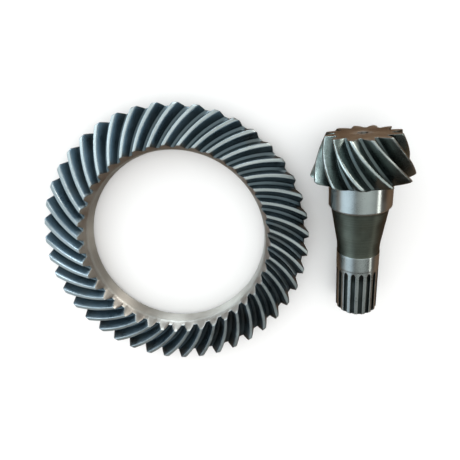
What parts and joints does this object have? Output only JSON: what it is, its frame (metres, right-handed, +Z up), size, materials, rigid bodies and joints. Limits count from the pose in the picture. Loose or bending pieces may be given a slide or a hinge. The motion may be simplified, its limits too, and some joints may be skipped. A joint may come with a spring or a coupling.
{
  "type": "spiral bevel gear pair",
  "caption": "Spiral bevel crown wheel with a wide bore, and its pinion cut in one piece with a tapered, splined shaft, lying side by side.",
  "frame": {"origin": "middle of the set's footprint, on the ground that both pieces lie on", "axes": "+X from the crown wheel to the pinion, +Y towards the pinion's head end, +Z up along the crown wheel's axis, teeth up"},
  "size_m": [0.3422, 0.2622, 0.0827],
  "materials": {
    "ring_steel": "oiled blue-black gear steel, bright ground tooth lands and bore",
    "pinion_steel": "oiled dark gear steel, bright ground bearing seats and spline lands"
  },
  "bodies": {
    "crown_wheel": {"ring_gear": "ring_steel"},
    "pinion": {"pinion_shaft": "pinion_steel"}
  },
  "joints": [
    {"name": "pinion_spin", "type": "hinge", "parent": "crown_wheel", "child": "pinion", "pos_m": [0.12968, 0.06489, 0.04048], "axis": [-0.0894, 0.9822, 0.1652], "continuous": true}
  ]
}
